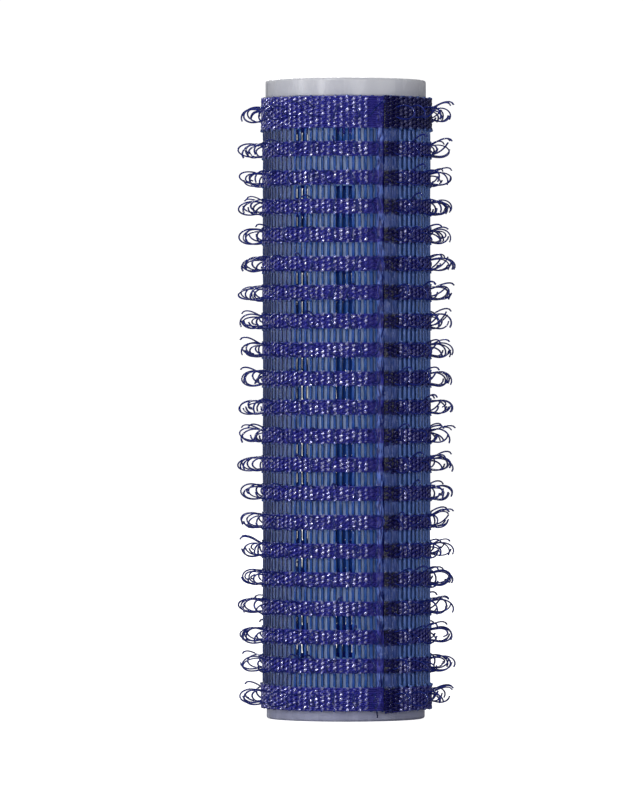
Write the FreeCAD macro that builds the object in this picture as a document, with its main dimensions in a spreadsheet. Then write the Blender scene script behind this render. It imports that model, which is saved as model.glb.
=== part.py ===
import FreeCAD, Part
import math
import os
import Sketcher

# Self-grip hair roller: a perforated plastic tube wrapped once in a woven hook fabric.
# +Z runs up the tube axis and the origin is the centre of the bottom rim. Lengths are mm, angles degrees.
# Angles round the tube are counted from the front (-Y) towards the right (+X).

os.makedirs("parts", exist_ok=True)
doc = FreeCAD.newDocument("hair_roller")

# ---------------------------------------------------------------- driving dimensions
DIMENSIONS = [
    # core tube
    ("tube_length", 60.0, "overall length of the moulded tube"),
    ("tube_radius", 7.45, "outside radius below the fabric"),
    ("lip_radius", 7.55, "outside radius of the top lip"),
    ("lip_height", 1.6, "height of the top lip"),
    ("bore_radius", 6.55, "inside radius"),
    ("rim_round", 0.22, "edge rounding of both rims"),
    ("window_width", 2.0, "width of one ventilation window"),
    ("window_height", 4.8, "height of one ventilation window"),
    ("window_round", 0.45, "corner radius of a window"),
    ("window_pitch", 8.03, "distance between window rows"),
    ("window_first", 7.8, "height of the lowest row of window centres"),
    ("window_rows", 7, "rows of windows"),
    ("window_columns", 10, "columns of windows round the tube"),
    # fabric: lengthwise yarns
    ("fabric_bottom", 1.0, "bottom edge of the fabric"),
    ("fabric_top", 58.3, "top edge of the fabric"),
    ("yarn_pitch_angle", 4.2857, "angle between two neighbouring yarns"),
    ("yarn_count", 93, "yarns across the fabric, lap included"),
    ("yarn_width", 0.33, "width of a yarn along the tube wall"),
    ("yarn_depth", 0.22, "depth of a yarn across the tube wall"),
    ("yarn_slack", 0.01, "play between a yarn and its neighbours"),
    ("loose_end", 0.6, "length of the loose yarn end below the fabric"),
    # fabric: woven bands
    ("band_pitch", 2.677, "distance between neighbouring bands"),
    ("band_first", 5.2, "height of the centre of band 2"),
    ("band_height", 1.38, "height of a regular band"),
    ("band_thickness", 0.18, "thickness of a regular band"),
    ("selvedge_thickness", 0.34, "thickness of the two edge bands"),
    ("selvedge_bottom_height", 2.2, "height of the bottom edge band"),
    ("selvedge_top_height", 3.0, "height of the top edge band"),
    # lap seam
    ("lap_edge_angle", 26.5, "angle of the outer cut edge"),
    ("lap_end_angle", 66.0, "angle of the hidden inner edge"),
    ("lap_ramp_angle", 78.0, "angle where the outer layer is back on the tube"),
    ("lap_thickness", 0.16, "band thickness where it is squeezed under the lap"),
    ("weld_thickness", 0.08, "thickness of the bond between the two layers"),
    ("weld_end_angle", 37.5, "angle where the bond ends"),
    ("weld_bead_angle", 1.2, "angular width of the bead along the cut edge"),
    # hooks
    ("hook_radius", 0.075, "radius of the hook filament"),
    ("hook_reach", 2.3, "how far a typical hook stands out of its band"),
    ("hook_spread", 0.2, "reach difference between short, typical and tall hooks"),
    ("hook_bend", 0.45, "bend radius of a hook's crown"),
    ("hook_tail", 0.75, "length of the free end that curls back"),
    ("hook_every", 3, "yarns from one hook to the next"),
    ("hook_count", 28, "hooks in one row"),
]

sheet = doc.addObject("Spreadsheet::Sheet", "Sheet")
for row, (alias, value, note) in enumerate(DIMENSIONS, start=1):
    sheet.set(f"A{row}", alias)
    sheet.set(f"B{row}", str(value))
    sheet.set(f"C{row}", note)
    sheet.setAlias(f"B{row}", alias)
doc.recompute()


def dim(alias):
    """A driving dimension, read back from the sheet."""
    return float(sheet.get(alias))


def around(radius, angle, z=0.0):
    """The point at this radius and angle round the tube."""
    turn = math.radians(angle)
    return FreeCAD.Vector(radius * math.sin(turn), -radius * math.cos(turn), z)


def origin_plane(body, name):
    """One of the body's own base planes: XY_Plane, XZ_Plane or YZ_Plane."""
    return next(f for f in body.Origin.OriginFeatures if f.Role == name)


def origin_axis(body, name):
    """One of the body's own base axes: X_Axis, Y_Axis or Z_Axis."""
    return next(f for f in body.Origin.OriginFeatures if f.Role == name)


def new_body(label):
    body = doc.addObject("PartDesign::Body", label)
    body.Label = label
    return body


def new_sketch(body, name, plane):
    sketch = body.newObject("Sketcher::SketchObject", name)
    sketch.AttachmentSupport = [(origin_plane(body, plane), "")]
    sketch.MapMode = "FlatFace"
    return sketch


# ---------------------------------------------------------------- core tube
def make_core_tube():
    """One moulding: a tube with a slight top lip, rounded rims and a grid of ventilation windows."""
    body = new_body("core_tube")

    wall = new_sketch(body, "tube_wall", "XZ_Plane")
    inner, outer, lip = dim("bore_radius"), dim("tube_radius"), dim("lip_radius")
    length, lip_z = dim("tube_length"), dim("tube_length") - dim("lip_height")
    slope = lip - outer
    corners = [
        (inner, 0), (outer, 0), (outer, lip_z - slope), (lip, lip_z), (lip, length), (inner, length),
    ]
    points = [FreeCAD.Vector(x, z, 0) for x, z in corners]
    for here, there in zip(points, points[1:] + points[:1]):
        wall.addGeometry(Part.LineSegment(here, there), False)
    for side in range(6):
        wall.addConstraint(Sketcher.Constraint("Coincident", side, 2, (side + 1) % 6, 1))
    for side in (0, 4):
        wall.addConstraint(Sketcher.Constraint("Horizontal", side))
    for side in (1, 3, 5):
        wall.addConstraint(Sketcher.Constraint("Vertical", side))
    wall.addConstraint(Sketcher.Constraint("PointOnObject", 0, 1, -1))
    named = [
        ("bore", Sketcher.Constraint("DistanceX", -1, 1, 0, 1, inner), "Sheet.bore_radius"),
        ("outside", Sketcher.Constraint("DistanceX", -1, 1, 0, 2, outer), "Sheet.tube_radius"),
        ("lip", Sketcher.Constraint("DistanceX", -1, 1, 3, 1, lip), "Sheet.lip_radius"),
        ("length", Sketcher.Constraint("DistanceY", -1, 1, 4, 1, length), "Sheet.tube_length"),
        ("lip_height", Sketcher.Constraint("DistanceY", 3, 1, 3, 2, length - lip_z), "Sheet.lip_height"),
        (
            "lip_slope",
            Sketcher.Constraint("DistanceY", 2, 1, 2, 2, slope),
            "Sheet.lip_radius - Sheet.tube_radius",
        ),
    ]
    for name, constraint, expression in named:
        index = wall.addConstraint(constraint)
        wall.renameConstraint(index, name)
        wall.setExpression(f"Constraints.{name}", expression)

    turned = body.newObject("PartDesign::Revolution", "tube_turned")
    turned.Profile = wall
    turned.ReferenceAxis = (wall, ["V_Axis"])
    turned.Angle = 360
    doc.recompute()

    rounded = body.newObject("PartDesign::Fillet", "rims_rounded")
    rim_edges = []
    for number, edge in enumerate(turned.Shape.Edges, start=1):
        on_rim = any(
            abs(edge.BoundBox.ZMin - z) < 1e-6 and abs(edge.BoundBox.ZMax - z) < 1e-6 for z in (0, length)
        )
        if on_rim and edge.Curve.TypeId == "Part::GeomCircle":
            rim_edges.append(f"Edge{number}")
    rounded.Base = (turned, rim_edges)
    rounded.setExpression("Radius", "Sheet.rim_round")
    doc.recompute()

    # one column of windows, cut through both walls at once
    column = new_sketch(body, "window_column", "XZ_Plane")
    half_w, half_h, r = dim("window_width") / 2, dim("window_height") / 2, dim("window_round")
    for row in range(int(dim("window_rows"))):
        z = dim("window_first") + row * dim("window_pitch")
        add_rounded_window(column, z, half_w, half_h, r)
    windows = body.newObject("PartDesign::Pocket", "windows_cut")
    windows.Profile = column
    windows.Type = "ThroughAll"
    windows.Midplane = True
    doc.recompute()

    # a column is cut front and back, so half the columns go round half a turn
    turned_columns = body.newObject("PartDesign::PolarPattern", "window_columns")
    turned_columns.Originals = [windows]
    turned_columns.Axis = (column, ["V_Axis"])
    turned_columns.setExpression("Occurrences", "Sheet.window_columns / 2")
    turned_columns.setExpression("Angle", "180 - 360 / Sheet.window_columns")
    body.Tip = turned_columns
    doc.recompute()
    return body


def add_rounded_window(sketch, z, half_w, half_h, r):
    """Draw one upright window with rounded corners, centred at height z."""
    x, y = half_w - r, half_h - r
    quarter = math.pi / 2
    first = sketch.GeometryCount
    up = FreeCAD.Vector(0, 0, 1)
    # anticlockwise from the right side
    for turn, (side_from, side_to, corner) in enumerate([
        ((half_w, -y), (half_w, y), (x, y)),
        ((x, half_h), (-x, half_h), (-x, y)),
        ((-half_w, y), (-half_w, -y), (-x, -y)),
        ((-x, -half_h), (x, -half_h), (x, -y)),
    ]):
        start, end, centre = (FreeCAD.Vector(px, pz + z, 0) for px, pz in (side_from, side_to, corner))
        sketch.addGeometry(Part.LineSegment(start, end), False)
        arc = Part.ArcOfCircle(Part.Circle(centre, up, r), turn * quarter, (turn + 1) * quarter)
        sketch.addGeometry(arc, False)
    for step in range(8):
        here, there = first + step, first + (step + 1) % 8
        sketch.addConstraint(Sketcher.Constraint("Coincident", here, 2, there, 1))


# ---------------------------------------------------------------- fabric layers
def layer_radii():
    """Inside radius of the bands in the single layer and in the outer layer of the lap."""
    single = dim("tube_radius") + dim("yarn_depth") + 2 * dim("yarn_slack")
    lapped = single + dim("lap_thickness") + dim("weld_thickness") + dim("yarn_depth") + 2 * dim("yarn_slack")
    return single, lapped


def band_inside_radius(angle):
    """Inside radius of a band at an angle counted along the fabric from its outer cut edge."""
    single, lapped = layer_radii()
    end, ramp = dim("lap_end_angle"), dim("lap_ramp_angle")
    if angle <= end:
        return lapped
    if angle >= ramp:
        return single
    # the straight run from the top of the lap down to the tube
    high, low, ray = around(lapped, end), around(single, ramp), around(1, angle)
    run = low - high
    return abs(high.x * run.y - high.y * run.x) / abs(ray.x * run.y - ray.y * run.x)


def make_band(label, bottom, height, thickness):
    """A woven band: one strip that goes round the tube once and laps over its own start."""
    body = new_body(label)
    sketch = new_sketch(body, label + "_profile", "XY_Plane")
    sketch.AttachmentOffset = FreeCAD.Placement(FreeCAD.Vector(0, 0, 0), FreeCAD.Rotation())
    sketch.setExpression("AttachmentOffset.Base.z", bottom)

    single, lapped = layer_radii()
    squeezed = single + dim("lap_thickness")
    edge, end, ramp = dim("lap_edge_angle"), dim("lap_end_angle"), dim("lap_ramp_angle")
    tuck = edge - dim("weld_bead_angle") - 1
    full, over = dim(thickness) + single, lapped + dim("band_thickness")

    def arc(radius, start, stop):
        circle = Part.Circle(FreeCAD.Vector(0, 0, 0), FreeCAD.Vector(0, 0, 1), radius)
        return Part.ArcOfCircle(circle, math.radians(start - 90), math.radians(stop - 90))

    def line(r_from, angle_from, r_to, angle_to):
        return Part.LineSegment(around(r_from, angle_from), around(r_to, angle_to))

    # (edge, does its stored start come first along the outline)
    outline = [
        (arc(over, edge, end), True),
        (line(over, end, full, ramp), True),
        (arc(full, ramp, 360 + tuck), True),
        (line(full, tuck, squeezed, tuck), True),
        (arc(squeezed, tuck, end), True),
        (line(squeezed, end, single, end), True),
        (arc(single, ramp, 360 + end), False),
        (line(single, ramp, lapped, end), True),
        (arc(lapped, edge, end), False),
        (line(lapped, edge, over, edge), True),
    ]
    for geometry, _ in outline:
        sketch.addGeometry(geometry, False)
    for here, (_, forward) in enumerate(outline):
        there = (here + 1) % len(outline)
        leaving = 2 if forward else 1
        entering = 1 if outline[there][1] else 2
        sketch.addConstraint(Sketcher.Constraint("Coincident", here, leaving, there, entering))

    pad = body.newObject("PartDesign::Pad", label + "_pad")
    pad.Profile = sketch
    pad.setExpression("Length", height)
    body.Tip = pad
    return body


def make_warp_yarns():
    """Every lengthwise yarn as its own thin oval rod, from the cut edge round to the hidden edge."""
    bottom, height = dim("fabric_bottom"), dim("fabric_top") - dim("fabric_bottom")
    wide, deep = dim("yarn_width") / 2, dim("yarn_depth") / 2
    loose_yarn = 0
    rods = []
    for k in range(int(dim("yarn_count"))):
        angle = dim("lap_edge_angle") + (k + 0.55) * dim("yarn_pitch_angle")
        radius = band_inside_radius(angle) - deep - dim("yarn_slack")
        ramp_lean = 0.02 if dim("lap_end_angle") < angle < dim("lap_ramp_angle") else 0
        hang = dim("loose_end") if k == loose_yarn else 0
        oval = Part.Ellipse(FreeCAD.Vector(0, 0, 0), wide, deep).toShape()
        rod = Part.Face(Part.Wire(oval)).extrude(FreeCAD.Vector(0, 0, height + hang))
        rod.rotate(FreeCAD.Vector(0, 0, 0), FreeCAD.Vector(0, 0, 1), angle)
        rod.translate(around(radius - ramp_lean, angle, bottom - hang))
        rods.append(rod)
    return add_feature("warp_yarns", Part.makeCompound(rods))


def make_seam_weld():
    """The bond of the lap: a bead along the cut edge and a thin layer between the two fabrics."""
    single, lapped = layer_radii()
    low = single + dim("lap_thickness")
    high = low + dim("weld_thickness")
    top = lapped + dim("band_thickness")
    edge = dim("lap_edge_angle")
    bead, end = edge - dim("weld_bead_angle"), dim("weld_end_angle")

    def arc(radius, start, stop):
        middle = (start + stop) / 2
        return Part.Arc(around(radius, start), around(radius, middle), around(radius, stop)).toShape()

    def line(r_from, angle_from, r_to, angle_to):
        return Part.LineSegment(around(r_from, angle_from), around(r_to, angle_to)).toShape()

    clear = edge - 0.05
    wire = Part.Wire([
        arc(low, bead, end),
        line(low, end, high, end),
        arc(high, end, clear),
        line(high, clear, top, clear),
        line(top, clear, top - 0.1, (bead + clear) / 2),
        line(top - 0.1, (bead + clear) / 2, low, bead),
    ])
    bottom = dim("fabric_bottom")
    face = Part.Face(wire)
    face.translate(FreeCAD.Vector(0, 0, bottom))
    return add_feature("seam_weld", face.extrude(FreeCAD.Vector(0, 0, dim("fabric_top") - bottom)))


def add_feature(label, shape):
    """A document object for a swept or grouped shape that no sketch feature fits."""
    feature = doc.addObject("Part::Feature", label)
    feature.Label = label
    feature.Shape = shape
    feature.Placement = FreeCAD.Placement()
    return feature


# ---------------------------------------------------------------- hooks
def hook_wire(kind, reach):
    """The centre line of one hook in the radial plane: x is the distance out of the band, z is height.

    loop: both legs stand in the band and an uncut crown joins them
    down: the lower leg was cut, so the upper one curls over and hangs
    up:   the upper leg was cut, so the lower one curls over and rises
    """
    bend, tail = dim("hook_bend"), dim("hook_tail")
    side = -1 if kind == "up" else 1
    neck = reach - dim("hook_radius") - bend
    leg_length = neck if kind == "loop" else tail
    foot, crown_a = FreeCAD.Vector(0, 0, side * bend), FreeCAD.Vector(neck, 0, side * bend)
    crest = FreeCAD.Vector(neck + bend, 0, 0)
    crown_b, free = FreeCAD.Vector(neck, 0, -side * bend), FreeCAD.Vector(neck - leg_length, 0, -side * bend)
    return Part.Wire([
        Part.LineSegment(foot, crown_a).toShape(),
        Part.Arc(crown_a, crest, crown_b).toShape(),
        Part.LineSegment(crown_b, free).toShape(),
    ])


def make_hook(kind, reach):
    """One filament swept along its centre line, with a six-sided section to keep hundreds of them light."""
    path = hook_wire(kind, reach)
    start, radius = path.Vertexes[0].Point, dim("hook_radius")
    corners = []
    for corner in range(6):
        turn = math.radians(60 * corner)
        corners.append(start + FreeCAD.Vector(0, radius * math.cos(turn), radius * math.sin(turn)))
    section = Part.makePolygon(corners + corners[:1])
    return path.makePipeShell([section], True, False)


def make_hook_row(label, z, thickness, patterns, row):
    """All hooks of one band, every third yarn, in a repeating mix of kinds and heights."""
    single, lapped = layer_radii()
    hooks = []
    for number in range(int(dim("hook_count"))):
        angle = dim("lap_edge_angle") + (1.55 + number * dim("hook_every")) * dim("yarn_pitch_angle")
        on_lap = angle <= dim("lap_ramp_angle")
        root = band_inside_radius(angle) + (dim("band_thickness") if on_lap else dim(thickness))
        if dim("lap_end_angle") < angle < dim("lap_ramp_angle"):
            root += 0.04
        hook = patterns[(number * 7 + row * 4) % len(patterns)].copy()
        hook.rotate(FreeCAD.Vector(0, 0, 0), FreeCAD.Vector(0, 0, 1), angle - 90)
        hook.translate(around(root, angle, z))
        hooks.append(hook)
    return add_feature(label, Part.makeCompound(hooks))


# ---------------------------------------------------------------- build
core = make_core_tube()

last = 21
bands = []
for number in range(1, last + 1):
    if number == 1:
        label, thickness = "selvedge_band_bottom", "selvedge_thickness"
        bottom, height = "Sheet.fabric_bottom", "Sheet.selvedge_bottom_height"
    elif number == last:
        label, thickness = "selvedge_band_top", "selvedge_thickness"
        bottom, height = "Sheet.fabric_top - Sheet.selvedge_top_height", "Sheet.selvedge_top_height"
    else:
        label, thickness = f"weft_band_{number:02d}", "band_thickness"
        bottom = f"Sheet.band_first + {number - 2} * Sheet.band_pitch - Sheet.band_height / 2"
        height = "Sheet.band_height"
    bands.append(make_band(label, bottom, height, thickness))
doc.recompute()

yarns = make_warp_yarns()
weld = make_seam_weld()

KINDS = ["down", "loop", "down", "up", "down", "down", "loop", "down", "up", "down", "down"]
hook_patterns = []
for number, kind in enumerate(KINDS):
    step = number % 3 - 1
    hook_patterns.append(make_hook(kind, dim("hook_reach") + step * dim("hook_spread")))

hook_rows = []
for number, band in enumerate(bands, start=1):
    box = band.Shape.BoundBox
    middle = (box.ZMin + box.ZMax) / 2
    thickness = "selvedge_thickness" if number in (1, last) else "band_thickness"
    hook_rows.append(make_hook_row(f"hook_row_{number:02d}", middle, thickness, hook_patterns, number))

# ---------------------------------------------------------------- check and export
doc.recompute()
for item in doc.Objects:
    if "Invalid" in item.State or "Error" in item.State:
        raise RuntimeError(f"{item.Label} is {item.State}")

pieces = [core] + bands + [yarns, weld] + hook_rows
for piece in pieces:
    shape = piece.Shape
    if shape.isNull() or not shape.isValid() or not shape.Solids:
        raise RuntimeError(f"{piece.Label} has no valid solid")
    shape.exportStep(f"parts/{piece.Label}.step")
    box = shape.BoundBox
    print(f"{piece.Label:24s} solids {len(shape.Solids):3d}  volume {shape.Volume:9.3f} mm3  "
          f"z {box.ZMin:6.2f} to {box.ZMax:6.2f}  x {box.XMin:6.2f} to {box.XMax:6.2f}")
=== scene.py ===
# %% [markdown]
# # A self-grip hair roller in Blender
# The roller is a short perforated plastic tube. A blue fabric is wrapped round it once: thin yarns run up and
# down, dense woven bands run round, and springy filament hooks stand out of every band and hold the hair.
# The CAD model gives every place and size. Here the same pieces get their real threads, loops and finishes.

# %% Load the fixed frame
import math
import random

import bpy
from mathutils import Matrix, Vector


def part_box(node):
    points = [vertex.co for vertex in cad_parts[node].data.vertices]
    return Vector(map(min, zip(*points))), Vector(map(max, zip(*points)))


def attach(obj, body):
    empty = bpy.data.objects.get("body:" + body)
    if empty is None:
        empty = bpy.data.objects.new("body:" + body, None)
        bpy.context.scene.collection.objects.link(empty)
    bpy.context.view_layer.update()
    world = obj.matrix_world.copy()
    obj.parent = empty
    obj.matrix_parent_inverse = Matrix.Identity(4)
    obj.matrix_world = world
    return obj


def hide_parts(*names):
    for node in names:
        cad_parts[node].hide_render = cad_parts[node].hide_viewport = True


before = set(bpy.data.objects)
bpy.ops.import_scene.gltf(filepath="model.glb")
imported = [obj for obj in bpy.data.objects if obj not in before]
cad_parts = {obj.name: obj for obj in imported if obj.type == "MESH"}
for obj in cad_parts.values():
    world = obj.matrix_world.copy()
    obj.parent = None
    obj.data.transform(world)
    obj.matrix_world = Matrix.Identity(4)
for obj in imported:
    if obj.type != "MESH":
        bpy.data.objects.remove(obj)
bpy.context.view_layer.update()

# %% [markdown]
# ## Camera, floor and light
# The camera stands level with the middle of the roller and far away, as for a catalogue picture: a long lens
# keeps the tube's sides parallel. The background is a bright white table and wall. The lights are soft boxes,
# with the strongest one on the left, because a glossy yarn only sparkles when it mirrors something bright.

# %% Camera
MM = 0.001
scene = bpy.context.scene

CAMERA_PLACE = Vector((-2.23, -650.0, 31.8)) * MM
CAMERA_TARGET = Vector((-2.23, 0.0, 29.95)) * MM
camera_data = bpy.data.cameras.new("camera")
camera_data.lens = 310.6
camera_data.clip_start = 0.01
camera_data.clip_end = 20
camera = bpy.data.objects.new("camera", camera_data)
camera.location = CAMERA_PLACE
camera.rotation_euler = (CAMERA_TARGET - CAMERA_PLACE).to_track_quat("-Z", "Y").to_euler()
scene.collection.objects.link(camera)
scene.camera = camera


# %% Floor, lamps and background
def deselect_all():
    """Operators act on everything that is selected, so each step starts from nothing selected."""
    if bpy.context.object and bpy.context.object.mode != "OBJECT":
        bpy.ops.object.mode_set(mode="OBJECT")
    bpy.ops.object.select_all(action="DESELECT")


def pick(*objects):
    """Select these objects and make the first one active."""
    deselect_all()
    for item in objects:
        item.select_set(True)
    bpy.context.view_layer.objects.active = objects[0]


def soft_box(name, place, size, power, colour=(1, 1, 1)):
    """A square lamp at this place that shines at the middle of the roller."""
    lamp = bpy.data.lights.new(name, "AREA")
    lamp.shape = "SQUARE"
    lamp.size = size
    lamp.energy = power
    lamp.color = colour
    holder = bpy.data.objects.new(name, lamp)
    holder.location = place
    aim = Vector((0, 0, 0.03)) - holder.location
    holder.rotation_euler = aim.to_track_quat("-Z", "Y").to_euler()
    scene.collection.objects.link(holder)


soft_box("key_left", Vector((-0.32, -0.68, 0.58)), 0.07, 2.6)
soft_box("fill_front", Vector((0.25, -0.76, 0.20)), 0.2, 1.0)
soft_box("side_left", Vector((-0.72, -0.30, 0.18)), 0.07, 1.1)
soft_box("glint", Vector((-0.46, -0.65, 0.08)), 0.05, 0.5)
soft_box("top", Vector((-0.1, -0.25, 0.7)), 0.3, 0.5)
soft_box("behind", Vector((-0.1, 0.80, 0.40)), 0.3, 2.0)
soft_box("low_right", Vector((0.6, -0.35, 0.15)), 0.3, 0.55)

deselect_all()
bpy.ops.mesh.primitive_plane_add(size=8.0, location=(0, 0, 0))
floor = bpy.context.object
floor.name = "floor"

world = bpy.data.worlds.new("studio")
scene.world = world
scene.view_settings.view_transform = "Standard"

# %% [markdown]
# ## Shader maths in Python
# Long chains of Math nodes are hard to read. A small class wraps one output socket and turns Python's own
# operators into Math nodes, so a mask can be written as `1 - mask * 0.5`. Every other node comes from `add`.


# %% A socket that can be calculated with
class Value:
    """One number that changes over the surface. Sums and products with it add Math nodes."""

    def __init__(self, finish, socket):
        self.finish = finish
        self.socket = socket

    def math(self, operation, *others, first=None):
        """A Math node on this number and others, or on `first` and this number."""
        inputs = [self, *others] if first is None else [first, self]
        node = self.finish.add("ShaderNodeMath", {"operation": operation}, inputs)
        return Value(self.finish, node.outputs[0])

    def __add__(self, other):
        return self.math("ADD", other)

    def __sub__(self, other):
        return self.math("SUBTRACT", other)

    def __rsub__(self, other):
        return self.math("SUBTRACT", first=other)

    def __mul__(self, other):
        return self.math("MULTIPLY", other)

    def __truediv__(self, other):
        return self.math("DIVIDE", other)

    def step_down(self, low, high):
        """1 below low, 0 above high, smooth between."""
        settings = {"interpolation_type": "SMOOTHSTEP"}
        node = self.finish.add("ShaderNodeMapRange", settings, [self, low, high, 1.0, 0.0])
        return Value(self.finish, node.outputs[0])

    def spread(self, low, high):
        """Stretch a 0 to 1 value so that it runs from low to high."""
        node = self.finish.add("ShaderNodeMapRange", {}, [self, 0.0, 1.0, low, high])
        return Value(self.finish, node.outputs[0])


class Finish:
    """A material under construction."""

    def __init__(self, name):
        self.material = bpy.data.materials.new(name)
        self.material.use_nodes = True
        self.tree = self.material.node_tree
        self.tree.nodes.clear()
        self.shader = self.tree.nodes.new("ShaderNodeBsdfPrincipled")
        out = self.tree.nodes.new("ShaderNodeOutputMaterial")
        self.tree.links.new(self.shader.outputs[0], out.inputs["Surface"])

    def add(self, kind, settings=None, inputs=()):
        """Add a node, set it up, and feed its inputs by position or by name."""
        node = self.tree.nodes.new(kind)
        for key, value in (settings or {}).items():
            setattr(node, key, value)
        pairs = inputs.items() if isinstance(inputs, dict) else enumerate(inputs)
        for key, value in pairs:
            self.feed(node.inputs[key], value)
        return node

    def feed(self, socket, value):
        """Link a socket to what makes its value, or set a fixed value."""
        if isinstance(value, Value):
            value = value.socket
        if isinstance(value, bpy.types.NodeSocket):
            self.tree.links.new(value, socket)
        else:
            socket.default_value = value

    def attribute(self, name):
        """The node that reads a value which the piece's own mesh carries."""
        return self.add("ShaderNodeAttribute", {"attribute_name": name})

    def number(self, name):
        """A single number that the piece's own mesh carries."""
        return Value(self, self.attribute(name).outputs["Fac"])

    def axes(self, vector):
        """The three coordinates of a vector."""
        node = self.add("ShaderNodeSeparateXYZ", {}, [vector])
        return [Value(self, output) for output in node.outputs]

    def scaled(self, vector, scale):
        """A vector stretched along its axes, which makes a pattern long or short that way."""
        node = self.add("ShaderNodeVectorMath", {"operation": "MULTIPLY"}, [vector, scale])
        return node.outputs[0]

    def noise(self, vector, scale, detail=2.0):
        """A cloudy pattern between 0 and 1; a larger scale makes it finer."""
        inputs = {"Vector": vector, "Scale": scale, "Detail": detail, "Roughness": 0.5}
        return Value(self, self.add("ShaderNodeTexNoise", {}, inputs).outputs[0])

    def blend(self, amount, colour_a, colour_b):
        """A colour between two colours."""
        node = self.add("ShaderNodeMix", {"data_type": "RGBA"})
        self.feed(node.inputs[0], amount)
        self.feed(node.inputs[6], colour_a)
        self.feed(node.inputs[7], colour_b)
        return node.outputs[2]

    def bump(self, height, distance, strength):
        """Make the surface look as if it rose and fell with this height, by this distance in metres."""
        inputs = {"Height": height, "Distance": distance, "Strength": strength}
        return self.add("ShaderNodeBump", {}, inputs).outputs[0]

    def surface(self, **inputs):
        """Set the shader's own sockets; an underscore in a name stands for a space."""
        for key, value in inputs.items():
            self.feed(self.shader.inputs[key.replace("_", " ")], value)
        return self.material


def rgb(red, green, blue):
    """A colour as on a screen, 0 to 255, turned into the linear light values that shaders use."""
    linear = [((c / 255 + 0.055) / 1.055) ** 2.4 if c > 10 else c / 255 / 12.92 for c in (red, green, blue)]
    return (*linear, 1.0)


def wear(piece, finish):
    """Give a piece this material and nothing else."""
    piece.data.materials.clear()
    piece.data.materials.append(finish)


# %% [markdown]
# ## Background and floor finish
# The wall behind is plain white light. The floor is white as well: it glows only where the camera looks
# straight at it, so it stays white in the picture and doesn't light the roller from below.

# %% White studio
world.use_nodes = True
studio_nodes = world.node_tree
studio_nodes.nodes.clear()
seen = studio_nodes.nodes.new("ShaderNodeLightPath")
white = studio_nodes.nodes.new("ShaderNodeBackground")
white.inputs["Color"].default_value = (1, 1, 1, 1)
white.inputs["Strength"].default_value = 1.05
glow = studio_nodes.nodes.new("ShaderNodeBackground")
glow.inputs["Color"].default_value = (0.93, 0.96, 1, 1)
glow.inputs["Strength"].default_value = 0.14
choose = studio_nodes.nodes.new("ShaderNodeMixShader")
world_out = studio_nodes.nodes.new("ShaderNodeOutputWorld")
studio_nodes.links.new(seen.outputs["Is Camera Ray"], choose.inputs[0])
studio_nodes.links.new(glow.outputs[0], choose.inputs[1])
studio_nodes.links.new(white.outputs[0], choose.inputs[2])
studio_nodes.links.new(choose.outputs[0], world_out.inputs["Surface"])

pale = Finish("pale_floor")
grain = pale.noise(pale.add("ShaderNodeTexCoord").outputs["Object"], 40.0)
looked_at = pale.add("ShaderNodeLightPath").outputs["Is Camera Ray"]
wear(floor, pale.surface(
    Base_Color=pale.blend(grain, (0.5, 0.5, 0.5, 1), (0.52, 0.52, 0.52, 1)),
    Roughness=0.9,
    Emission_Color=pale.blend(looked_at, (0, 0, 0, 1), (1, 1, 1, 1)),
    Emission_Strength=0.97,
))

# %% [markdown]
# ## Laying out the fabric
# A woven fabric is made flat, so it is modelled flat too: x runs along the cloth from its outer cut edge,
# z runs up the roller, and -y points out of the roller. At the end each piece is wrapped by a Curve modifier.
# The path of the wrap starts on top of the lap, comes down onto the tube, goes round once and ends under its
# own start.

# %% Sizes of the fabric
# angles in degrees, counted from the front: the cut edge, the lap's end and foot, and the hidden edge
LAP_EDGE, LAP_TOP_END, LAP_FOOT, CLOTH_END = 26.5, 70.0, 92.0, 424.0
# radius of the middle of the cloth, on the tube and on top of the lap
ON_TUBE = 7.66 * MM
ON_LAP = 8.12 * MM
YARN_PITCH = 0.573 * MM
YARNS = 93
# how far the first yarn lies from the cut edge, in yarn pitches
FIRST_YARN = 0.865
# the two bands along the edges of the cloth are taller than this, and their threads stand out further
REGULAR_BAND = 1.6 * MM
EDGE_LIFT = 0.1 * MM

BAND_NAMES = (
    ["selvedge_band_bottom"] + [f"weft_band_{number:02d}" for number in range(2, 21)] + ["selvedge_band_top"]
)
band_spans = {name: (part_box(name)[0].z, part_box(name)[1].z) for name in BAND_NAMES}
cloth_low = band_spans["selvedge_band_bottom"][0]
cloth_high = band_spans["selvedge_band_top"][1]
print("bands:", len(band_spans), "cloth height in mm:", round(cloth_low / MM, 2), round(cloth_high / MM, 2))


def clamp(value):
    """Keep a number between 0 and 1."""
    return min(max(value, 0), 1)


def path_radius(angle):
    """Radius of the middle of the cloth at an angle counted along it from the cut edge."""
    drop = clamp((angle - LAP_TOP_END) / (LAP_FOOT - LAP_TOP_END))
    drop = drop * drop * (3 - 2 * drop)
    return ON_LAP + (ON_TUBE - ON_LAP) * drop


def place_on_cloth(angle):
    """How far along the cloth, from the cut edge, a point at this angle lies, summed in half degrees."""
    step = 0.5
    count = round((angle - LAP_EDGE) / step)
    return sum(path_radius(LAP_EDGE + (n + 0.5) * step) for n in range(count)) * math.radians(step)


def make_wrap_path():
    """The line that the cloth follows, seen from above, from the cut edge round to the hidden edge."""
    data = bpy.data.curves.new("wrap_path", "CURVE")
    data.dimensions = "3D"
    data.twist_mode = "Z_UP"
    data.use_deform_bounds = False
    data.resolution_u = 1
    steps = 400
    spline = data.splines.new("POLY")
    spline.points.add(steps)
    for step, point in enumerate(spline.points):
        angle = LAP_EDGE + (CLOTH_END - LAP_EDGE) * step / steps
        radius, turn = path_radius(angle), math.radians(angle)
        point.co = (radius * math.sin(turn), -radius * math.cos(turn), 0, 1)
    path = bpy.data.objects.new("wrap_path", data)
    scene.collection.objects.link(path)
    path.hide_render = True
    return path, spline.calc_length()


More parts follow.
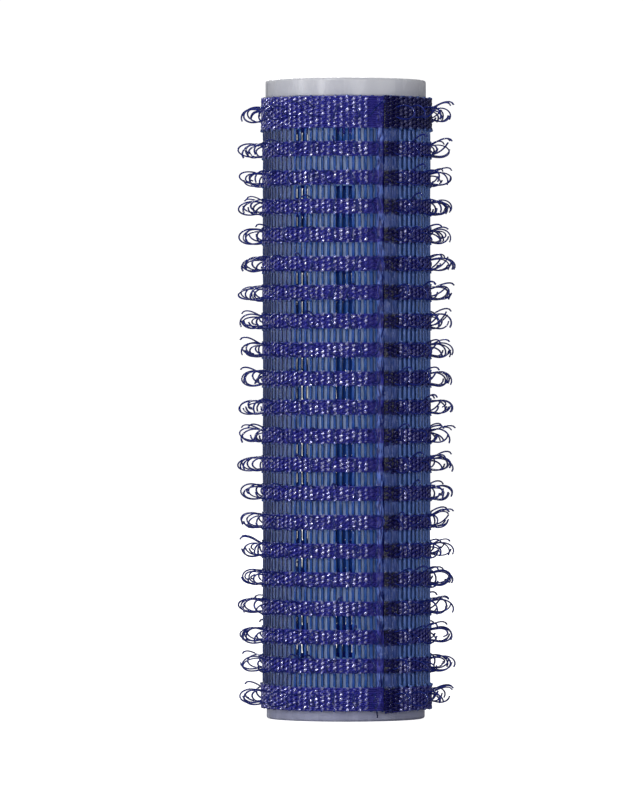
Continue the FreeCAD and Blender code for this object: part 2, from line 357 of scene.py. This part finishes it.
wrap_path, cloth_length = make_wrap_path()
# the heat of welding also ironed the layer next to the cut edge smooth, and left a film in front of it
IRONED = place_on_cloth(376.0)
FILM_START = place_on_cloth(382.0)
FILM_END = place_on_cloth(387.5)
# painted highlight: a stretch of yarns on the left side is lightened, standing in for the light that the side
# lamp catches on them
PAINTED_LIGHT_START = place_on_cloth(283.0)
PAINTED_LIGHT_END = place_on_cloth(316.0)
print("cloth length in mm:", round(cloth_length / MM, 2))

# where the look of the cloth changes, in mm: along it from the cut edge, and the top band's height
BURNT_FADE = (1.2, 1.8)
BESIDE_WELD_FADE = (2.6, 3.4)
LAPPED_FADE = (7.5, 10.0)
IRONED_FADE = (IRONED / MM - 0.4, IRONED / MM + 0.3)
PAINTED_LIGHT_FADE_IN = (PAINTED_LIGHT_START / MM - 1, PAINTED_LIGHT_START / MM)
PAINTED_LIGHT_FADE_OUT = (PAINTED_LIGHT_END / MM, PAINTED_LIGHT_END / MM + 1)
TOP_BAND_FADE = (54.5, 55.5)


# %% [markdown]
# ## Making threads
# A thread is a curve with a round bevel. Its points are set where it passes over or under another thread, and
# the smooth spline between them gives the gentle waves of a real weave. It becomes a mesh so that it can be
# copied, joined and wrapped.


# %% Thread tools
def thread(name, points, thickness, sides=1, smooth=2, order=3):
    """A round thread through these control points, as a mesh object."""
    data = bpy.data.curves.new(name, "CURVE")
    data.dimensions = "3D"
    data.bevel_depth = thickness / 2
    data.bevel_resolution = sides
    data.resolution_u = smooth
    data.use_fill_caps = True
    spline = data.splines.new("NURBS")
    spline.points.add(len(points) - 1)
    for point, place in zip(spline.points, points):
        point.co = (*place, 1)
    spline.order_u = order
    spline.use_endpoint_u = True
    piece = bpy.data.objects.new(name, data)
    scene.collection.objects.link(piece)
    pick(piece)
    bpy.ops.object.convert(target="MESH")
    piece = bpy.context.object
    bpy.ops.object.shade_smooth()
    return piece


def copy_of(piece, name, move=Matrix.Identity(4)):
    """A copy with its own mesh, moved by a matrix that is worked into the mesh."""
    twin = piece.copy()
    twin.data = piece.data.copy()
    twin.data.transform(move)
    twin.name = name
    scene.collection.objects.link(twin)
    return twin


def join(pieces, name):
    """Make one object of several."""
    pick(*pieces)
    bpy.ops.object.join()
    joined = bpy.context.object
    joined.name = name
    return joined


def apply_modifiers(piece):
    """Work every modifier into the mesh, in order."""
    pick(piece)
    for modifier in list(piece.modifiers):
        bpy.ops.object.modifier_apply(modifier=modifier.name)


def remove(*pieces):
    """Delete helper objects that aren't handed over."""
    for piece in pieces:
        bpy.data.objects.remove(piece)


def cloud(name, size):
    """A cloud texture whose three colour channels push a point in three directions."""
    texture = bpy.data.textures.new(name, "CLOUDS")
    texture.noise_scale = size
    texture.noise_depth = 1
    texture.cloud_type = "COLOR"
    return texture


slow_wander = cloud("slow_wander", 4.0 * MM)
quick_wander = cloud("quick_wander", 0.7 * MM)


def loosen(piece, texture, amount):
    """Hand-made unevenness: the same cloud moves threads that lie together by the same amount."""
    modifier = piece.modifiers.new("loosen", "DISPLACE")
    modifier.texture = texture
    modifier.texture_coords = "LOCAL"
    modifier.direction = "RGB_TO_XYZ"
    modifier.mid_level = 0.5
    modifier.strength = amount


def out_of_band(height):
    """How far a height lies outside the nearest band; it is negative inside one."""
    return min(max(low - height, height - high) for low, high in band_spans.values())


BAND_SOFT_EDGE = 0.12 * MM


def remember_flat(piece):
    """Keep each point's flat place, in mm, so that a finish can follow the threads after wrapping."""
    places, weights = [], []
    for vertex in piece.data.vertices:
        places.extend(vertex.co / MM)
        weights.append(clamp(0.5 - out_of_band(vertex.co.z) / BAND_SOFT_EDGE))
    flat = piece.data.attributes.new("flat", "FLOAT_VECTOR", "POINT")
    flat.data.foreach_set("vector", places)
    dense = piece.data.attributes.new("dense", "FLOAT", "POINT")
    dense.data.foreach_set("value", weights)


def wrap(piece):
    """Roll a flat piece round the tube along the wrap path."""
    modifier = piece.modifiers.new("wrap", "CURVE")
    modifier.object = wrap_path
    modifier.deform_axis = "POS_X"
    apply_modifiers(piece)


def finish_piece(piece, finish, slot, *nodes):
    """Give a piece its finish, hide the CAD nodes it takes the place of, and attach it to the root body."""
    wear(piece, finish)
    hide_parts(*nodes)
    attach(piece, "root")
    piece.data.validate()
    print(piece.name, "triangles", sum(len(face.vertices) - 2 for face in piece.data.polygons))


# %% [markdown]
# ## Woven bands
# In each band fine cross threads, called picks, pass over one yarn and under the next. Two picks are made,
# one that starts over and one that starts under. Every band is a stack of copies of the two, over a thin
# backing that stops light from shining through between them.

# %% Picks
PICK_PITCH = 0.197 * MM
PICK_THICKNESS = 0.2 * MM
PICK_WAVE = 0.15 * MM
IRONED_WAVE = 0.06 * MM


def make_pick(name, starts_over):
    """One cross thread that weaves over and under all the yarns."""
    points = [(0, 0, 0)]
    for yarn in range(YARNS):
        place = (yarn + FIRST_YARN) * YARN_PITCH
        wave = PICK_WAVE if place < IRONED else IRONED_WAVE
        over = (yarn + starts_over) % 2
        points.append((place, -wave if over else wave, 0))
    points.append((min(YARNS * YARN_PITCH, cloth_length), 0, 0))
    piece = thread(name, points, PICK_THICKNESS, smooth=3)
    piece.data.transform(Matrix.Diagonal((1, 0.72, 0.98, 1)))
    return piece


def cloth_zones(finish, flat):
    """Masks of the flat cloth: burnt edge, the same in patches, lapped layer, top of the lap, ironed part."""
    along, _, height = finish.axes(flat)
    burnt = along.step_down(*BURNT_FADE)
    scorched = burnt * finish.noise(flat, 1.3).spread(0.55, 1.15)
    lapped = along.step_down(*LAPPED_FADE)
    top_lap = lapped * (1 - height.step_down(*TOP_BAND_FADE))
    ironed = 1 - along.step_down(*IRONED_FADE)
    return burnt, scorched, lapped, top_lap, ironed


picks = [make_pick("pick_under_first", 0), make_pick("pick_over_first", 1)]

fabric = Finish("woven_band")
flat = fabric.attribute("flat").outputs["Vector"]
fibres = fabric.noise(fabric.scaled(flat, (1.5, 6, 22)), 1.0, 3)
patches = fabric.noise(flat, 0.8)
_, scorched, lapped, top_lap, ironed = cloth_zones(fabric, flat)
tone = fabric.blend(fibres, rgb(30, 32, 128), rgb(58, 62, 180))
tone = fabric.blend(patches.spread(0.0, 0.5), tone, rgb(40, 34, 138))
# painted shade: the lap lies on the right side, away from the key lamp, so its bands are painted darker, the
# top band there darkest
tone = fabric.blend(lapped * 0.5, tone, rgb(16, 16, 90))
tone = fabric.blend(top_lap * 0.7, tone, rgb(12, 14, 58))
tone = fabric.blend(ironed * 0.7, tone, rgb(40, 34, 132))
tone = fabric.blend(scorched, tone, rgb(12, 9, 76))
woven_band = fabric.surface(
    Base_Color=tone,
    Roughness=fibres.spread(0.4, 0.24) + ironed * 0.12 - scorched * 0.12,
    Normal=fabric.bump(fibres, 0.03 * MM, 0.6),
    Specular_IOR_Level=0.3,
)

# %% Bands
# the random numbers start at a fixed point, so every run gives the same roller
chance = random.Random(15)
BACKING_INSET = 0.07 * MM
SAG_LENGTH = 4.5 * MM


def make_strip(name, start, end, low, high, depth, columns, rows):
    """A flat strip of cloth, weld or film: a fine grid that stands upright at this depth."""
    deselect_all()
    bpy.ops.mesh.primitive_grid_add(x_subdivisions=columns, y_subdivisions=rows, size=1.0)
    strip = bpy.context.object
    strip.data.transform(
        Matrix.Translation(((start + end) / 2, depth, (low + high) / 2))
        @ Matrix.Rotation(math.radians(90), 4, "X")
        @ Matrix.Diagonal((end - start, high - low, 1, 1))
    )
    strip.name = name
    bpy.ops.object.shade_smooth()
    return strip


def make_band(name, low, high):
    """Stack the picks of one band, loosen them, and wrap the band round the tube."""
    count = round((high - low) / PICK_PITCH)
    start, end = 0.1 * MM, cloth_length - 0.1 * MM
    backing = make_strip(
        "backing", start, end, low + BACKING_INSET, high - BACKING_INSET, depth=0.04 * MM, columns=300, rows=2
    )
    stack = [backing]
    for number in range(count):
        height = low + (number + 0.5) * (high - low) / count
        stack.append(copy_of(picks[number % 2], f"pick_{number}", Matrix.Translation((0, 0, height))))
    band = join(stack, name)
    if high - low > REGULAR_BAND:
        band.data.transform(Matrix.Translation((0, -EDGE_LIFT, 0)) @ Matrix.Diagonal((1, 1.25, 1, 1)))
    remember_flat(band)
    # the outer layer was pulled a little while it was welded: towards the cut edge the top band rises, and
    # the others sag
    sag = -0.1 * MM if high > cloth_high - MM else chance.uniform(0, 0.3) * MM
    for vertex in band.data.vertices:
        vertex.co.z -= sag * max(0, 1 - vertex.co.x / SAG_LENGTH) ** 2
    loosen(band, slow_wander, 0.10 * MM)
    loosen(band, quick_wander, 0.05 * MM)
    wrap(band)
    finish_piece(band, woven_band, "weft_fabric", name)


for name, (low, high) in band_spans.items():
    make_band(name, low, high)
remove(*picks)

# %% [markdown]
# ## Lengthwise yarns
# The yarns run the whole height. Inside a band each one dips under one pick and rises over the next, where it
# shows as a small slanted bead, because the yarn is twisted. In the open rows it runs straight and swells.
# The beads lie tight and flat, so their filaments mirror the lamps almost like metal: that is the sparkle.

# %% Yarns
YARN_WIDTH = 0.3 * MM
YARN_WAVE = 0.2 * MM
BEAD_SLANT = 0.11 * MM
BEAD_HALF_HEIGHT = 0.08 * MM
# a yarn is a flat bundle of filaments: its section is this much thinner than a round one
YARN_FLAT = 0.24
# between the bands nothing presses on the bundle, so there it swells
OPEN_DEPTH = -0.06 * MM
OPEN_SWELL = 1.7
OPEN_SPREAD = 0.12
# a yarn leaves a band at the first of these distances and runs straight from the second one on
LEAVES_BAND = 0.04 * MM
RUNS_STRAIGHT = 0.25 * MM
# its ends stay this far inside the edges of the cloth
END_INSET = 0.12 * MM


def make_yarn(name, starts_over):
    """One yarn, bottom to top, with a pair of points for each bead that shows and one where it dips."""
    points = [(0, 0, cloth_low + END_INSET)]
    for low, high in band_spans.values():
        count = round((high - low) / PICK_PITCH)
        bead_depth = -YARN_WAVE - (EDGE_LIFT if high - low > REGULAR_BAND else 0)
        if low > cloth_low:
            points.append((0, OPEN_DEPTH, low - RUNS_STRAIGHT))
            points.append((0, OPEN_DEPTH, low - LEAVES_BAND))
        for number in range(count):
            height = low + (number + 0.5) * (high - low) / count
            if (number + starts_over) % 2:
                points.append((-BEAD_SLANT, bead_depth, height - BEAD_HALF_HEIGHT))
                points.append((BEAD_SLANT, bead_depth, height + BEAD_HALF_HEIGHT))
            else:
                points.append((0, YARN_WAVE * 0.9, height))
        if high < cloth_high:
            points.append((0, OPEN_DEPTH, high + LEAVES_BAND))
            points.append((0, OPEN_DEPTH, high + RUNS_STRAIGHT))
    points.append((0, 0, cloth_high - END_INSET))
    # the section is flattened after it is made round, so the depths are stretched first
    points = [(x, y / YARN_FLAT, z) for x, y, z in points]
    piece = thread(name, points, YARN_WIDTH, smooth=2)
    piece.data.transform(Matrix.Diagonal((1, YARN_FLAT, 1, 1)))
    for vertex in piece.data.vertices:
        # the swelling starts outside the band, where no bead is left
        free = clamp(out_of_band(vertex.co.z) / BAND_SOFT_EDGE - 0.45)
        vertex.co.y += (vertex.co.y - OPEN_DEPTH) * OPEN_SWELL * free
        vertex.co.x *= 1 + OPEN_SPREAD * free
    return piece


# where a pick is over a yarn, that yarn is under the pick, so the two kinds of both take turns
yarns = [make_yarn("yarn_even", 1), make_yarn("yarn_odd", 0)]

strand = Finish("lengthwise_yarn")
flat = strand.attribute("flat").outputs["Vector"]
flat_x, flat_y, flat_z = strand.axes(flat)
dense = strand.number("dense")
which_yarn = (flat_x / (YARN_PITCH / MM)).math("FLOOR")
lottery = strand.add("ShaderNodeTexWhiteNoise", {"noise_dimensions": "1D"}, {"W": which_yarn})
own_tone = Value(strand, lottery.outputs[0])
fibres = strand.noise(strand.scaled(flat, (18, 18, 2.5)), 1.0, 3)
burnt, scorched, lapped, top_lap, ironed = cloth_zones(strand, flat)
open_tone = strand.blend(fibres, rgb(20, 62, 152), rgb(56, 112, 212))
open_tone = strand.blend(own_tone * 0.4, open_tone, rgb(18, 82, 136))
# painted light: the lap's open rows, where two layers of yarn lie, are painted lighter, lifting the shade
# that falls between the layers
open_tone = strand.blend(lapped * 0.7, open_tone, rgb(108, 138, 212))
# painted light and shade: a stretch of yarns on the left side is painted lighter, and the right flank of
# every yarn is painted darker, standing in for the lit and shaded sides that the side lamp gives the yarns
pale = (1 - flat_x.step_down(*PAINTED_LIGHT_FADE_IN)) * flat_x.step_down(*PAINTED_LIGHT_FADE_OUT)
open_tone = strand.blend(pale * 0.5, open_tone, rgb(150, 162, 226))
across_yarn = (flat_x / (YARN_PITCH / MM) + (0.5 - FIRST_YARN)).math("FRACT")
# painted shade: the right flank of each yarn is darkened, less so on the lap
painted_flank_shade = (1 - (across_yarn + pale * 0.09).step_down(0.58, 0.7)) * (1 - lapped * 0.8)
open_tone = strand.blend(painted_flank_shade * 0.85, open_tone, rgb(8, 14, 62))
open_tone = strand.blend(burnt * 0.8, open_tone, rgb(40, 60, 134))
# beads are glossy where they stand out, in patches, and hardly at all on the lap away from its weld
beside_weld = flat_x.step_down(*BESIDE_WELD_FADE)
dulled = lapped * (1 - beside_weld) * 0.8
glossy = dense * (1 - burnt) * (1 - ironed) * (1 - dulled) * (1 - top_lap * 0.8)
glossy = glossy * flat_y.step_down(-0.2, -0.12) * (1 - strand.noise(flat, 3.2, 1).step_down(0.42, 0.6))
band_tone = strand.blend(fibres, rgb(32, 34, 140), rgb(66, 70, 196))
# painted shade: the lap lies on the right side, away from the key lamp, so its band beads are painted darker,
# the top band there darkest
band_tone = strand.blend(lapped * 0.5, band_tone, rgb(16, 16, 90))
band_tone = strand.blend(top_lap * 0.7, band_tone, rgb(12, 14, 58))
band_tone = strand.blend(ironed * 0.7, band_tone, rgb(42, 36, 136))
band_tone = strand.blend(scorched, band_tone, rgb(12, 9, 76))
tone = strand.blend(dense, open_tone, band_tone)
below_cloth = flat_z.step_down(cloth_low / MM - 0.1, cloth_low / MM)
tone = strand.blend(below_cloth, tone, rgb(16, 20, 72))
lengthwise_yarn = strand.surface(
    Base_Color=strand.blend(glossy, tone, rgb(206, 206, 255)),
    Metallic=glossy * 0.9,
    Roughness=fibres.spread(0.32, 0.18) + ironed * 0.15 - burnt * 0.06,
    Normal=strand.bump(fibres, 0.02 * MM, 0.5),
    Transmission_Weight=0.25,
    Specular_IOR_Level=0.3,
)

# %% Lay the yarns side by side
GROUPS = 6
# ironing makes a yarn wider and flatter
IRONED_SHAPE = Matrix.Diagonal((1.25, 0.45, 1, 1))
# one loose yarn end hangs below the cloth at the edge of the film; its points are in mm
LOOSE_END = [(0, 0, 0.3), (0, -0.05, 0), (-0.05, -0.1, -0.25), (0.08, -0.1, -0.5), (0.02, -0.05, -0.62)]
LOOSE_THICKNESS = 0.16 * MM
per_group = math.ceil(YARNS / GROUPS)
for group in range(GROUPS):
    members = []
    first = group * per_group
    for number in range(first, min(first + per_group, YARNS)):
        along = (number + FIRST_YARN) * YARN_PITCH
        shape = IRONED_SHAPE if along > IRONED else Matrix.Identity(4)
        place = Matrix.Translation((along, 0, 0)) @ shape
        members.append(copy_of(yarns[number % 2], f"yarn_{number}", place))
    if group == GROUPS - 1:
        hanging = thread("loose_end", [Vector(point) * MM for point in LOOSE_END], LOOSE_THICKNESS, order=4)
        hanging.data.transform(Matrix.Translation((FILM_START, -0.1 * MM, cloth_low)))
        members.append(hanging)
    yarn_group = join(members, f"warp_yarns_{group + 1}")
    remember_flat(yarn_group)
    loosen(yarn_group, slow_wander, 0.08 * MM)
    loosen(yarn_group, quick_wander, 0.03 * MM)
    wrap(yarn_group)
    finish_piece(yarn_group, lengthwise_yarn, "warp_fabric", "warp_yarns")
remove(*yarns)

# %% [markdown]
# ## Hooks
# The hooks start as loops of monofilament woven into each band. Cutting a loop leaves two springy arms with
# free ends that curl. A few arm shapes are drawn as side views, in mm out of the band and up. Each hook is a
# copy of one or two of them, turned, leaned and sized a little differently.

# %% Hook shapes
HOOK_THICKNESS = 0.165 * MM
ARM_SHAPES = {
    "loop": [
        (-0.25, .42), (0.1, .52), (0.6, .68), (1.2, .76), (1.85, .62), (2.3, .22),
        (2.28, -.25), (1.8, -.6), (1.2, -.7), (0.6, -.64), (0.1, -.52), (-0.25, -.42),
    ],
    "upper": [
        (-0.25, .42), (0.1, .5), (0.6, .64), (1.2, .74), (1.8, .58), (2.22, .15), (2.25, -.3), (2.1, -.55),
    ],
    "lower": [(-0.25, -.42), (0.1, -.5), (0.6, -.62), (1.15, -.7), (1.65, -.55), (1.95, -.25), (2.0, .05)],
    "drooping": [(-0.25, .3), (0.1, .32), (0.5, .3), (0.9, .12), (1.15, -.2), (1.2, -.5)],
    "raised": [(-0.25, .42), (0.1, .5), (0.5, .7), (1.0, 1.0), (1.6, 1.2), (2.05, 1.12), (2.15, .85)],
    "crossing": [(-0.25, -.4), (0.1, -.45), (0.6, -.4), (1.1, -.1), (1.55, .35), (1.75, .75)],
    "curled": [(-0.25, .42), (0.1, .5), (0.7, .6), (1.4, .6), (1.8, .25), (1.7, -.15), (1.35, -.2)],
}


def make_arm(name, outline):
    """One arm of a hook, with its foot at the origin and its tip towards -y."""
    points = [(0, -out * MM, up * MM) for out, up in outline]
    return thread("arm_" + name, points, HOOK_THICKNESS, smooth=2, order=4)


arms = {name: make_arm(name, outline) for name, outline in ARM_SHAPES.items()}

filament = Finish("hook_filament")
spot = filament.noise(filament.add("ShaderNodeTexCoord").outputs["Object"], 900.0)
hook_filament = filament.surface(
    Base_Color=filament.blend(spot, rgb(20, 30, 106), rgb(44, 58, 156)),
    Roughness=spot.spread(0.06, 0.16),
    Normal=filament.bump(spot, 0.01 * MM, 0.4),
    Transmission_Weight=0.3,
    IOR=1.5,
)

# %% Hook rows
HOOK_EVERY = 3
HOOKS = 28
# how deep in front of the middle of the cloth the arms start, on a regular band and on an edge band
HOOK_FOOT = 0.1 * MM
EDGE_HOOK_FOOT = 0.22 * MM
STRAY_SHARE = 0.08
# how often each make-up of a hook occurs: on one half of the cloth most loops stayed whole
WHOLE_KINDS = [
    ("loop",), ("loop",), ("loop",), ("loop",), ("upper", "lower"), ("upper", "lower"),
    ("curled", "lower"), ("raised", "lower"), ("upper", "drooping"),
]
CUT_KINDS = [
    ("loop",), ("upper", "lower"), ("upper", "lower"), ("upper", "lower"), ("raised", "lower"),
    ("raised", "crossing"), ("upper", "crossing"), ("raised", "drooping"), ("curled", "lower"),
]


def make_hook_row(row, low, high):
    """Twenty-eight different hooks on every third yarn of one band."""
    middle = (low + high) / 2
    foot = EDGE_HOOK_FOOT if high - low > REGULAR_BAND else HOOK_FOOT
    members = []
    for number in range(HOOKS):
        x = (FIRST_YARN + 1 + number * HOOK_EVERY) * YARN_PITCH
        swing = chance.gauss(0, 9)
        if chance.random() < STRAY_SHARE:
            swing = chance.uniform(-50, 50)
        reach = chance.uniform(0.88, 1.08)
        for kind in chance.choice(WHOLE_KINDS if x > cloth_length / 2 else CUT_KINDS):
            lean = chance.gauss(0, 0.1)
            place = (
                Matrix.Translation((x + chance.uniform(-0.06, 0.06) * MM, -foot, middle))
                @ Matrix.Rotation(math.radians(swing + chance.gauss(0, 6)), 4, "Y")
                @ Matrix.Shear("XZ", 4, (lean, chance.gauss(0, 0.05)))
                @ Matrix.Diagonal((1, reach * chance.uniform(0.94, 1.05), chance.uniform(0.82, 1.04), 1))
            )
            members.append(copy_of(arms[kind], f"arm_{number}", place))
    hooks = join(members, f"hook_row_{row:02d}")
    wrap(hooks)
    finish_piece(hooks, hook_filament, "hook_filament", f"hook_row_{row:02d}")


for row, (low, high) in enumerate(band_spans.values(), start=1):
    make_hook_row(row, low, high)
remove(*arms.values())

# %% [markdown]
# ## The melted seam
# The lap is welded: heat melts the cut edge into a dark, lumpy strip and leaves a shiny film beside it.

# %% Seam weld
low, high = cloth_low + 0.1 * MM, cloth_high - 0.1 * MM
bead = make_strip("weld", -0.05 * MM, 1.4 * MM, low, high, depth=0.0, columns=14, rows=380)
film = make_strip("film", FILM_START, FILM_END, low, high, depth=-0.12 * MM, columns=10, rows=500)
weld = join([bead, film], "seam_weld")
thicken = weld.modifiers.new("thicken", "SOLIDIFY")
thicken.thickness = 0.1 * MM
thicken.offset = 0
apply_modifiers(weld)
remember_flat(weld)
loosen(weld, quick_wander, 0.22 * MM)
wrap(weld)

melt = Finish("melted_seam")
flat = melt.attribute("flat").outputs["Vector"]
lumps = melt.noise(flat, 2.2, 3)
# the bead lies within 3 mm of the cut edge, and the film far beyond
on_bead = melt.axes(flat)[0].step_down(3.0, 4.0)
streaks = melt.noise(melt.scaled(flat, (7, 7, 0.9)), 1.0, 3)
dense = melt.number("dense")
bead_tone = melt.blend(lumps, rgb(30, 46, 112), rgb(76, 100, 172))
bead_tone = melt.blend(dense, bead_tone, rgb(6, 5, 44))
sharp = 1 - streaks.step_down(0.42, 0.62)
film_tone = melt.blend(sharp, rgb(18, 34, 116), rgb(104, 132, 220))
film_tone = melt.blend(dense, film_tone, melt.blend(sharp, rgb(30, 26, 108), rgb(58, 60, 172)))
tone = melt.blend(on_bead, film_tone, bead_tone)
melted_seam = melt.surface(
    Base_Color=tone,
    Roughness=lumps.spread(0.1, 0.4),
    Normal=melt.bump(lumps + streaks, 0.12 * MM, 0.9),
    Specular_IOR_Level=0.5,
)
finish_piece(weld, melted_seam, "melted_seam", "seam_weld")

# %% [markdown]
# ## The plastic tube
# The tube keeps its CAD shape. Its plastic is milky: light goes in a little way and comes out again, which is
# what subsurface scattering does. Its skin has painted light and shade: bluer and lighter under the fabric,
# darker and bluer on the bottom rim, and a faint painted blue glow inside, standing in for the light that
# comes through the wall.

# %% Tube plastic
milky = Finish("milky_plastic")
place = milky.add("ShaderNodeTexCoord").outputs["Object"]
flow = milky.noise(milky.scaled(place, (1, 1, 0.25)), 400.0, 3)
fine = milky.noise(place, 3000.0)
across, deep, up = milky.axes(place)
radius = (across * across + deep * deep).math("SQRT")
foot = up.step_down(cloth_low, cloth_low + 0.2 * MM)
# painted light: under the cloth the skin is painted bluer, standing in for the blue light that the yarns
# throw onto it, and lighter to lift the gaps out of the yarns' shade
painted_bounce_light = (1 - radius.step_down(7.25 * MM, 7.35 * MM)) * (1 - foot)
painted_bounce_light = painted_bounce_light * up.step_down(cloth_high - 0.2 * MM, cloth_high)
bare_tone = milky.blend(flow, rgb(192, 193, 203), rgb(212, 213, 219))
# painted shade: the bottom rim below the cloth is painted darker and bluer, standing in for the shade and
# blue bounce light under the overhanging cloth
bare_tone = milky.blend(foot, bare_tone, rgb(164, 166, 194))
# painted light: the inside gets a faint blue glow that no lamp gives, standing in for the light that the
# walls let through after it has turned blue in the fabric
inside = radius.step_down(6.6 * MM, 7.3 * MM) * (1 - up.step_down(cloth_low, cloth_low + 2 * MM))
inside = inside * up.step_down(cloth_high - 2 * MM, cloth_high)
milky_plastic = milky.surface(
    Base_Color=milky.blend(painted_bounce_light, bare_tone, rgb(180, 202, 255)),
    Roughness=flow.spread(0.2, 0.36),
    Emission_Color=milky.blend(inside, (0, 0, 0, 1), rgb(50, 76, 104)),
    Emission_Strength=1.0,
    Normal=milky.bump(fine, 0.02 * MM, 0.25),
    Subsurface_Weight=0.7,
    Subsurface_Radius=(1.0, 0.95, 0.9),
    Subsurface_Scale=2.5 * MM,
)
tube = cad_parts["core_tube"]
wear(tube, milky_plastic)

# %% [markdown]
# ## Tidy up
# The wrap path was only a helper, so it is removed.

# %% Finish
remove(wrap_path)
